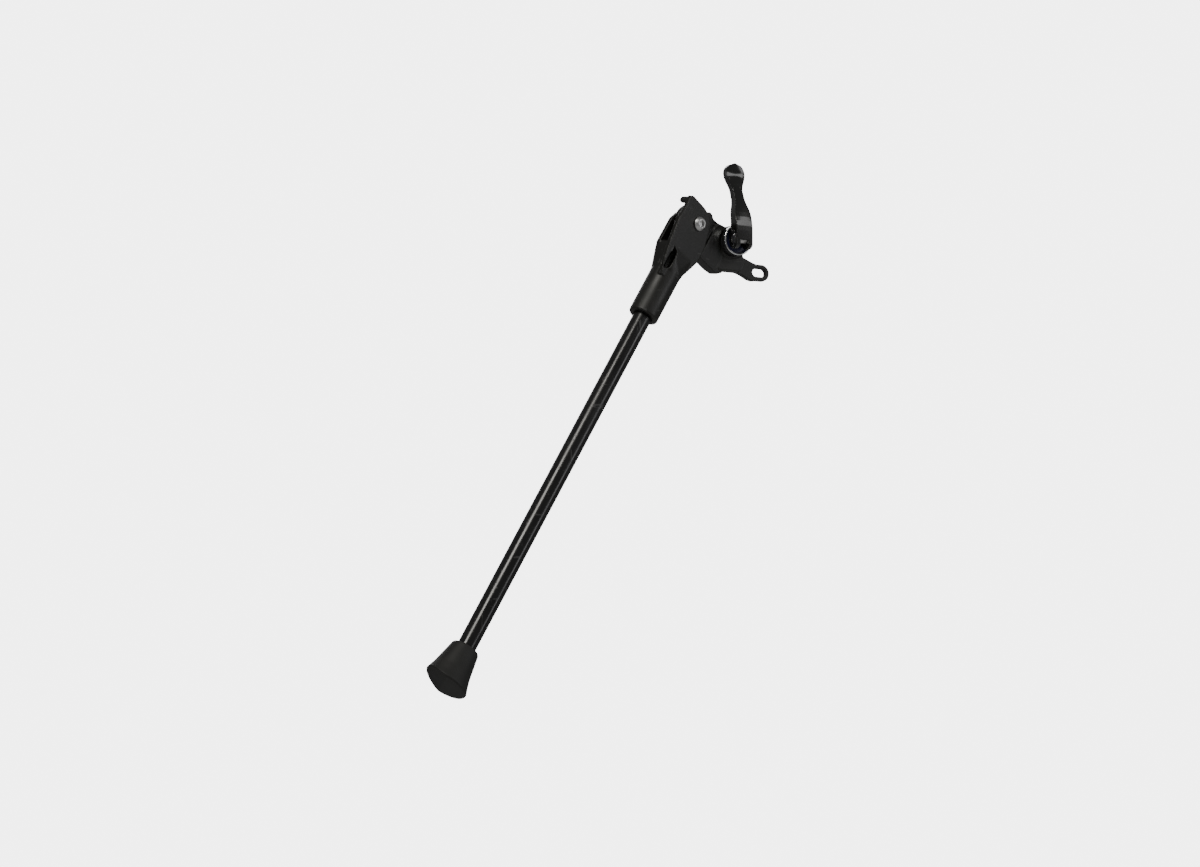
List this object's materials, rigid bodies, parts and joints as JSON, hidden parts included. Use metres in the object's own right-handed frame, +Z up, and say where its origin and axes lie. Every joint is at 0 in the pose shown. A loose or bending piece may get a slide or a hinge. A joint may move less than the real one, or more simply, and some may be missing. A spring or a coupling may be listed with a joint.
{
  "type": "bicycle side stand",
  "caption": "Swinging side stand for a bicycle, clamped beside the rear axle by a cam lever, with a slotted ear for an eyelet bolt.",
  "frame": {"origin": "on the clamp's axis, on the bracket's flat inner face", "axes": "+Y inboard along the clamp's axis, +Z up, +X towards the slotted ear"},
  "size_m": [0.2433, 0.0507, 0.3532],
  "materials": {
    "cast_black": "satin powder coat",
    "rod_black": "semi-gloss paint",
    "lever_black": "gloss",
    "rubber": "matte",
    "chrome": "polished",
    "steel": "zinc plated",
    "black_oxide": "black oxide",
    "bush": "machined",
    "plastic_black": "moulded",
    "plastic_blue": "moulded",
    "plastic_pale": "moulded"
  },
  "bodies": {
    "bracket": {"mount_bracket": "cast_black", "pivot_bush": "bush"},
    "clamp": {"clamp_stud": "steel", "spacer_washer": "plastic_black", "cam_cup": "chrome", "cam_pad": "plastic_blue", "cross_barrel": "steel"},
    "lever": {"clamp_lever": "lever_black"},
    "nut": {"clamp_nut": "plastic_black", "nut_washer": "steel", "nut_insert": "steel"},
    "leg": {"leg_head": "cast_black", "leg_rod": "rod_black", "rubber_foot": "rubber", "pivot_bolt": "steel", "pivot_washer": "steel", "thrust_washers": "plastic_pale", "pivot_nut": "steel", "pivot_nut_insert": "plastic_blue", "detent_spring": "steel", "spring_seat": "steel", "rod_grub_screw": "black_oxide"},
    "plunger": {"detent_plunger": "steel"}
  },
  "joints": [
    {"name": "leg_swing", "type": "hinge", "parent": "bracket", "child": "leg", "pos_m": [-0.0323, -0.012, 0.0078], "axis": [-0.269, 0.9511, 0.1522], "range_deg": [0, 75]},
    {"name": "clamp_spin", "type": "hinge", "parent": "bracket", "child": "clamp", "pos_m": [0, 0, 0], "axis": [0, 1, 0], "range_deg": [-10, 180]},
    {"name": "lever_throw", "type": "hinge", "parent": "clamp", "child": "lever", "pos_m": [0, -0.0194, 0], "axis": [1, 0, 0], "range_deg": [0, 100]},
    {"name": "nut_turn", "type": "hinge", "parent": "clamp", "child": "nut", "pos_m": [0, 0, 0], "axis": [0, 1, 0], "continuous": true},
    {"name": "plunger_slide", "type": "slide", "parent": "leg", "child": "plunger", "axis": [-0.4924, 0, -0.8704], "range_m": [-0.0009, 0], "stiffness_N_per_m": 2000, "springref_m": -0.004}
  ]
}
